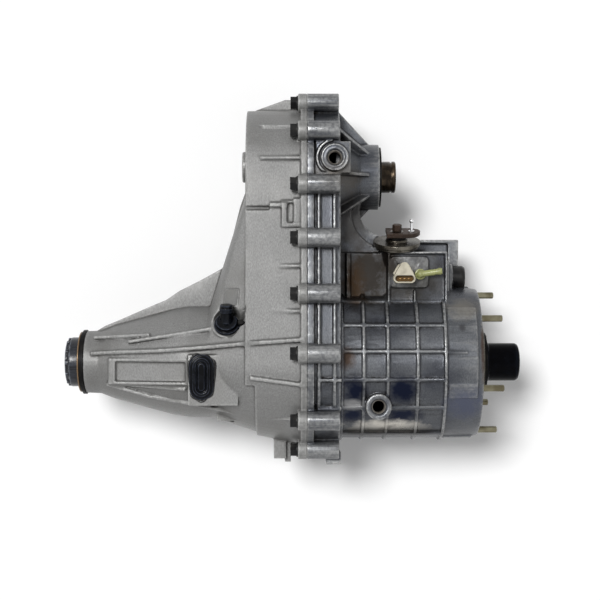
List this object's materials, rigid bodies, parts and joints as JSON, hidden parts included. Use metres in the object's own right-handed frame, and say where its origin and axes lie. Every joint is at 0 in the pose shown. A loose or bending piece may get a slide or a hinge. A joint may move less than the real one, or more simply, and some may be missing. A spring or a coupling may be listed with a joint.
{
  "type": "transfer case",
  "caption": "Two-speed part-time transfer case with a ribbed cast housing, planetary range set and chain drive to the front output.",
  "frame": {"origin": "centre of the circle of mounting studs, in the plane of the adapter face", "axes": "+X along the main shaft, out of the case towards the gearbox it bolts to; +Y from the main shaft to the front output shaft; +Z away from the ground side of the picture, towards the camera"},
  "size_m": [0.5555, 0.449, 0.2434],
  "materials": {
    "cast_front": "die-cast, slightly polished",
    "cast_rear": "sand-cast, shot-blasted",
    "black_bolt": "black zinc",
    "yellow_zinc": "yellow zinc",
    "bare_steel": "machined",
    "gear_steel": "ground, oiled",
    "dark_steel": "heat-darkened, oiled",
    "oily_steel": "oil-browned",
    "bushing_bronze": "turned",
    "black_plastic": "glossy",
    "black_rubber": "moulded",
    "white_plastic": "moulded",
    "amber_metal": "plated",
    "vent_plastic": "translucent, yellowed",
    "grey_label": "matt",
    "seal_brown": "moulded over steel",
    "chrome_ball": "bright"
  },
  "bodies": {
    "case": {"front_case": "cast_front", "rear_case": "cast_rear", "case_bolts": "black_bolt", "case_dowels": "bare_steel", "adapter_studs": "yellow_zinc", "input_retainer": "oily_steel", "input_seal": "seal_brown", "input_bearing": "bare_steel", "bearing_snap_ring": "dark_steel", "ring_gear": "gear_steel", "front_output_bearing": "bare_steel", "front_output_rear_bearing": "bare_steel", "front_output_seal": "black_rubber", "rear_bearing": "bare_steel", "pump_housing": "cast_rear", "pump_cover": "bare_steel", "pickup_tube": "yellow_zinc", "pickup_screen": "black_plastic", "oil_magnet": "dark_steel", "tail_bushing": "bushing_bronze", "tail_seal": "black_rubber", "speed_sensor": "black_plastic", "sensor_screw": "bare_steel", "window_grommet": "black_rubber", "selector_retainer": "bare_steel", "selector_o_ring": "black_rubber", "indicator_switch": "white_plastic", "switch_terminals": "amber_metal", "vent_tube": "vent_plastic", "rail_plug": "black_plastic", "id_plate": "grey_label", "drive_chain": "dark_steel"},
    "main_shaft": {"main_shaft": "bare_steel", "pilot_rollers": "bare_steel", "mode_hub": "gear_steel", "tone_wheel": "gear_steel", "main_snap_rings": "dark_steel", "sprocket_needles": "bare_steel", "pump_inner_rotor": "gear_steel"},
    "input_shaft": {"input_shaft": "gear_steel"},
    "input_cap": {"input_cap": "black_plastic"},
    "planet_carrier": {"planet_carrier": "dark_steel", "planet_pins": "bare_steel"},
    "planet_1": {"planet_gear_1": "gear_steel"},
    "planet_2": {"planet_gear_2": "gear_steel"},
    "planet_3": {"planet_gear_3": "gear_steel"},
    "planet_4": {"planet_gear_4": "gear_steel"},
    "range_hub": {"range_hub": "gear_steel"},
    "mode_sleeve": {"mode_sleeve": "gear_steel"},
    "drive_sprocket": {"drive_sprocket": "gear_steel"},
    "front_output": {"front_output_shaft": "oily_steel", "driven_sprocket": "gear_steel"},
    "pump_rotor": {"pump_outer_rotor": "gear_steel"},
    "shift_rail": {"shift_rail": "bare_steel", "range_fork": "cast_rear", "mode_fork": "cast_rear"},
    "selector": {"selector_shaft": "bare_steel", "shift_lever": "dark_steel", "ball_stud": "chrome_ball"},
    "tail_plug": {"tail_plug": "black_plastic"}
  },
  "joints": [
    {"name": "rear_output_spin", "type": "hinge", "parent": "case", "child": "main_shaft", "pos_m": [-0.2, 0, 0], "axis": [1, 0, 0], "continuous": true},
    {"name": "input_spin", "type": "hinge", "parent": "case", "child": "input_shaft", "pos_m": [0, 0, 0], "axis": [1, 0, 0], "continuous": true},
    {"name": "carrier_spin", "type": "hinge", "parent": "case", "child": "planet_carrier", "pos_m": [-0.061, 0, 0], "axis": [1, 0, 0], "continuous": true},
    {"name": "planet_1_spin", "type": "hinge", "parent": "planet_carrier", "child": "planet_1", "pos_m": [-0.061, 0.0595, 0], "axis": [1, 0, 0], "continuous": true},
    {"name": "planet_2_spin", "type": "hinge", "parent": "planet_carrier", "child": "planet_2", "pos_m": [-0.061, 0, 0.0595], "axis": [1, 0, 0], "continuous": true},
    {"name": "planet_3_spin", "type": "hinge", "parent": "planet_carrier", "child": "planet_3", "pos_m": [-0.061, -0.0595, 0], "axis": [1, 0, 0], "continuous": true},
    {"name": "planet_4_spin", "type": "hinge", "parent": "planet_carrier", "child": "planet_4", "pos_m": [-0.061, 0, -0.0595], "axis": [1, 0, 0], "continuous": true},
    {"name": "drive_sprocket_spin", "type": "hinge", "parent": "case", "child": "drive_sprocket", "pos_m": [-0.2375, 0, 0], "axis": [1, 0, 0], "continuous": true},
    {"name": "front_output_spin", "type": "hinge", "parent": "case", "child": "front_output", "pos_m": [-0.2375, 0.22781, 0], "axis": [1, 0, 0], "continuous": true, "deforming": ["drive_chain"]},
    {"name": "pump_rotor_spin", "type": "hinge", "parent": "case", "child": "pump_rotor", "pos_m": [-0.324, 0.002, 0], "axis": [1, 0, 0], "continuous": true},
    {"name": "selector_turn", "type": "hinge", "parent": "case", "child": "selector", "pos_m": [-0.0989, 0.104, 0.026], "axis": [0, 0.9511, 0.309], "range_deg": [-16.5, 33]},
    {"name": "rail_slide", "type": "slide", "parent": "case", "child": "shift_rail", "axis": [1, 0, 0], "range_m": [-0.0143, 0.0067]},
    {"name": "range_hub_slide", "type": "slide", "parent": "main_shaft", "child": "range_hub", "axis": [1, 0, 0], "range_m": [-0.0148, 0.0072]},
    {"name": "mode_sleeve_slide", "type": "slide", "parent": "main_shaft", "child": "mode_sleeve", "axis": [1, 0, 0], "range_m": [-0.0148, 0.0072]},
    {"name": "input_cap_pull", "type": "slide", "parent": "input_shaft", "child": "input_cap", "axis": [1, 0, 0], "range_m": [0, 0.08]},
    {"name": "tail_plug_pull", "type": "slide", "parent": "case", "child": "tail_plug", "axis": [-1, 0, 0], "range_m": [0, 0.08]}
  ],
  "couplings": [
    {"joint": "input_spin", "follows": "rear_output_spin", "ratio": 1},
    {"joint": "carrier_spin", "follows": "rear_output_spin", "ratio": 0.36765},
    {"joint": "planet_1_spin", "follows": "rear_output_spin", "ratio": -1.7565},
    {"joint": "planet_2_spin", "follows": "rear_output_spin", "ratio": -1.7565},
    {"joint": "planet_3_spin", "follows": "rear_output_spin", "ratio": -1.7565},
    {"joint": "planet_4_spin", "follows": "rear_output_spin", "ratio": -1.7565},
    {"joint": "drive_sprocket_spin", "follows": "rear_output_spin", "ratio": 1},
    {"joint": "front_output_spin", "follows": "rear_output_spin", "ratio": 1},
    {"joint": "pump_rotor_spin", "follows": "rear_output_spin", "ratio": 0.85714},
    {"joint": "range_hub_slide", "follows": "rail_slide", "ratio": 1},
    {"joint": "mode_sleeve_slide", "follows": "rail_slide", "ratio": 1},
    {"joint": "selector_turn", "follows": "rail_slide", "rad_per_m": -38.91}
  ]
}
